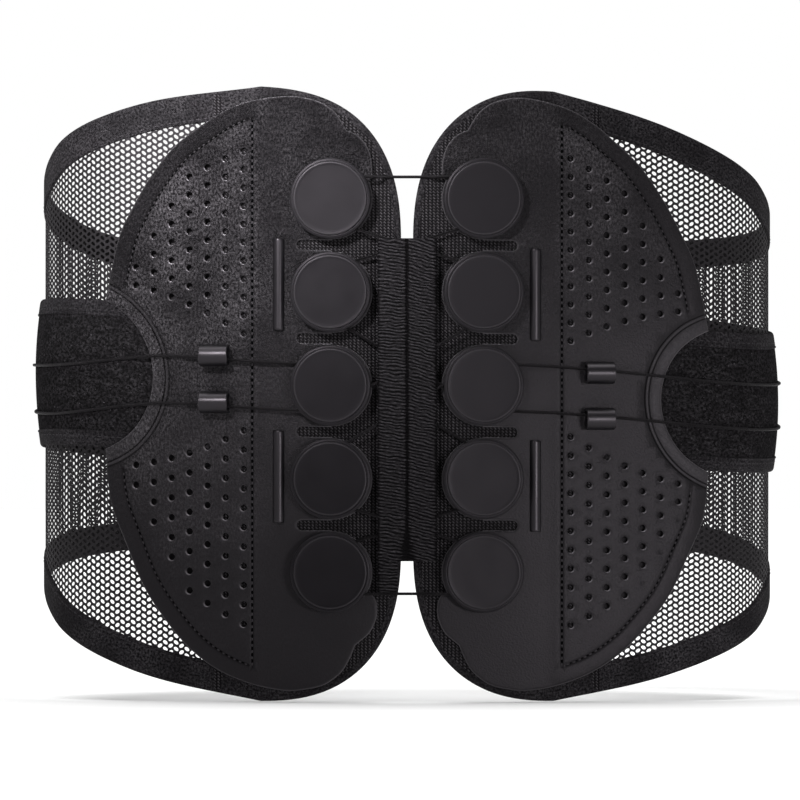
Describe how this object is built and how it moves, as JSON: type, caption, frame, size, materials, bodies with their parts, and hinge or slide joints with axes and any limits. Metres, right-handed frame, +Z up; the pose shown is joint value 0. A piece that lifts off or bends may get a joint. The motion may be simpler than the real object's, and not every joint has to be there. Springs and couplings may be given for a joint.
{
  "type": "back brace",
  "caption": "Lumbar back brace: shells beside the spine drawn together by a pulley lacing, with mesh wings that wrap to the front and pull tabs.",
  "frame": {"origin": "middle of the waist that the brace goes round, at mid height", "axes": "+X to the right as the back of the brace is looked at, +Y from the back to the front opening, +Z up"},
  "size_m": [0.2982, 0.1916, 0.2422],
  "materials": {
    "back_fabric": "matte knit, 3-D spacer fabric with a fine texture",
    "liner": "soft brushed inner face",
    "mesh": "open black mesh with long holes, edge bound in grey-black tape",
    "loop": "brushed loop, fuzzy, very dark",
    "hook": "moulded hook, fine rows",
    "elastic": "gathered elastic with level ribs",
    "shell": "matte moulded grain with pressed lines and punched holes",
    "stay": "satin half-round rod",
    "cap": "satin, very fine grain, thin bright rim",
    "sheave": "smooth",
    "guide": "glossy",
    "tab": "satin with a fine grain",
    "cord": "braided, slightly waxy"
  },
  "bodies": {
    "left_back": {"left_back_panel": "back_fabric", "left_liner_pad": "liner", "left_side_mesh": "mesh", "left_side_strap": "loop", "left_shell": "shell", "left_upper_stay": "stay", "left_lower_stay": "stay", "left_upper_cord_guide": "guide", "left_lower_cord_guide": "guide", "left_top_pulley_cap": "cap", "left_upper_pulley_cap": "cap", "left_middle_pulley_cap": "cap", "left_lower_pulley_cap": "cap", "left_bottom_pulley_cap": "cap", "lumbar_elastic": "elastic", "upper_lacing_cord": "cord", "lower_lacing_cord": "cord"},
    "right_back": {"right_back_panel": "back_fabric", "right_liner_pad": "liner", "right_side_mesh": "mesh", "right_side_strap": "loop", "right_shell": "shell", "right_upper_stay": "stay", "right_lower_stay": "stay", "right_upper_cord_guide": "guide", "right_lower_cord_guide": "guide", "right_top_pulley_cap": "cap", "right_upper_pulley_cap": "cap", "right_middle_pulley_cap": "cap", "right_lower_pulley_cap": "cap", "right_bottom_pulley_cap": "cap"},
    "left_wing": {"left_wing_mesh": "mesh", "left_wing_strap": "loop", "left_closure_panel": "loop", "left_pull_cord": "cord"},
    "right_wing": {"right_wing_mesh": "mesh", "right_wing_strap": "loop", "right_closure_panel": "hook", "right_pull_cord": "cord"},
    "left_tab": {"left_pull_tab": "tab", "left_tab_hook_pad": "hook"},
    "right_tab": {"right_pull_tab": "tab", "right_tab_hook_pad": "hook"},
    "left_middle_outer_sheave": {"left_middle_outer_sheave": "sheave"},
    "right_upper_sheave": {"right_upper_sheave": "sheave"},
    "left_top_sheave": {"left_top_sheave": "sheave"},
    "right_top_sheave": {"right_top_sheave": "sheave"},
    "left_upper_sheave": {"left_upper_sheave": "sheave"},
    "right_middle_inner_sheave": {"right_middle_inner_sheave": "sheave"},
    "left_middle_inner_sheave": {"left_middle_inner_sheave": "sheave"},
    "right_lower_sheave": {"right_lower_sheave": "sheave"},
    "left_bottom_sheave": {"left_bottom_sheave": "sheave"},
    "right_bottom_sheave": {"right_bottom_sheave": "sheave"},
    "left_lower_sheave": {"left_lower_sheave": "sheave"},
    "right_middle_outer_sheave": {"right_middle_outer_sheave": "sheave"}
  },
  "joints": [
    {"name": "back_slide", "type": "slide", "parent": "left_back", "child": "right_back", "axis": [1, 0, 0], "range_m": [-0.004, 0.02], "deforming": ["lumbar_elastic", "upper_lacing_cord", "lower_lacing_cord"]},
    {"name": "left_wing_fold", "type": "hinge", "parent": "left_back", "child": "left_wing", "pos_m": [-0.14279, -0.05476, 0], "axis": [0, 0, 1], "range_deg": [-8, 95]},
    {"name": "left_tab_travel", "type": "hinge", "parent": "left_wing", "child": "left_tab", "pos_m": [0, -0.06083, 0], "axis": [0, 0, -1], "range_deg": [-18.5, 3.8], "deforming": ["left_pull_cord"]},
    {"name": "right_wing_fold", "type": "hinge", "parent": "right_back", "child": "right_wing", "pos_m": [0.14279, -0.05476, 0], "axis": [0, 0, -1], "range_deg": [-8, 95]},
    {"name": "right_tab_travel", "type": "hinge", "parent": "right_wing", "child": "right_tab", "pos_m": [0, -0.06083, 0], "axis": [0, 0, 1], "range_deg": [-18.5, 3.8], "deforming": ["right_pull_cord"]},
    {"name": "left_middle_outer_sheave_spin", "type": "hinge", "parent": "left_back", "child": "left_middle_outer_sheave", "pos_m": [-0.02978, -0.08818, 0.0038], "axis": [-0.0662, -0.9978, 0], "range_deg": [-68, 335]},
    {"name": "right_upper_sheave_spin", "type": "hinge", "parent": "right_back", "child": "right_upper_sheave", "pos_m": [0.02978, -0.08818, 0.0408], "axis": [0.0662, -0.9978, 0], "range_deg": [-41, 201]},
    {"name": "left_top_sheave_spin", "type": "hinge", "parent": "left_back", "child": "left_top_sheave", "pos_m": [-0.02978, -0.08818, 0.0778], "axis": [-0.0662, -0.9978, 0], "range_deg": [-68, 15]},
    {"name": "right_top_sheave_spin", "type": "hinge", "parent": "right_back", "child": "right_top_sheave", "pos_m": [0.02978, -0.08818, 0.0778], "axis": [0.0662, -0.9978, 0], "range_deg": [-15, 68]},
    {"name": "left_upper_sheave_spin", "type": "hinge", "parent": "left_back", "child": "left_upper_sheave", "pos_m": [-0.02978, -0.08818, 0.0408], "axis": [-0.0662, -0.9978, 0], "range_deg": [-201, 41]},
    {"name": "right_middle_inner_sheave_spin", "type": "hinge", "parent": "right_back", "child": "right_middle_inner_sheave", "pos_m": [0.02978, -0.08818, 0.0038], "axis": [0.0662, -0.9978, 0], "range_deg": [-335, 68]},
    {"name": "left_middle_inner_sheave_spin", "type": "hinge", "parent": "left_back", "child": "left_middle_inner_sheave", "pos_m": [-0.02978, -0.08818, 0.0038], "axis": [-0.0662, -0.9978, 0], "range_deg": [-335, 68]},
    {"name": "right_lower_sheave_spin", "type": "hinge", "parent": "right_back", "child": "right_lower_sheave", "pos_m": [0.02978, -0.08818, -0.0332], "axis": [0.0662, -0.9978, 0], "range_deg": [-201, 41]},
    {"name": "left_bottom_sheave_spin", "type": "hinge", "parent": "left_back", "child": "left_bottom_sheave", "pos_m": [-0.02978, -0.08818, -0.0702], "axis": [-0.0662, -0.9978, 0], "range_deg": [-15, 68]},
    {"name": "right_bottom_sheave_spin", "type": "hinge", "parent": "right_back", "child": "right_bottom_sheave", "pos_m": [0.02978, -0.08818, -0.0702], "axis": [0.0662, -0.9978, 0], "range_deg": [-68, 15]},
    {"name": "left_lower_sheave_spin", "type": "hinge", "parent": "left_back", "child": "left_lower_sheave", "pos_m": [-0.02978, -0.08818, -0.0332], "axis": [-0.0662, -0.9978, 0], "range_deg": [-41, 201]},
    {"name": "right_middle_outer_sheave_spin", "type": "hinge", "parent": "right_back", "child": "right_middle_outer_sheave", "pos_m": [0.02978, -0.08818, 0.0038], "axis": [0.0662, -0.9978, 0], "range_deg": [-68, 335]}
  ],
  "couplings": [
    {"joint": "left_tab_travel", "follows": "back_slide", "rad_per_m": -16.015},
    {"joint": "right_tab_travel", "follows": "back_slide", "rad_per_m": -16.015},
    {"joint": "left_middle_outer_sheave_spin", "follows": "back_slide", "rad_per_m": 290.7},
    {"joint": "right_upper_sheave_spin", "follows": "back_slide", "rad_per_m": 174.42},
    {"joint": "left_top_sheave_spin", "follows": "back_slide", "rad_per_m": -58.139},
    {"joint": "right_top_sheave_spin", "follows": "back_slide", "rad_per_m": 58.139},
    {"joint": "left_upper_sheave_spin", "follows": "back_slide", "rad_per_m": -174.42},
    {"joint": "right_middle_inner_sheave_spin", "follows": "back_slide", "rad_per_m": -290.7},
    {"joint": "left_middle_inner_sheave_spin", "follows": "back_slide", "rad_per_m": -290.7},
    {"joint": "right_lower_sheave_spin", "follows": "back_slide", "rad_per_m": -174.42},
    {"joint": "left_bottom_sheave_spin", "follows": "back_slide", "rad_per_m": 58.139},
    {"joint": "right_bottom_sheave_spin", "follows": "back_slide", "rad_per_m": -58.139},
    {"joint": "left_lower_sheave_spin", "follows": "back_slide", "rad_per_m": 174.42},
    {"joint": "right_middle_outer_sheave_spin", "follows": "back_slide", "rad_per_m": 290.7}
  ]
}
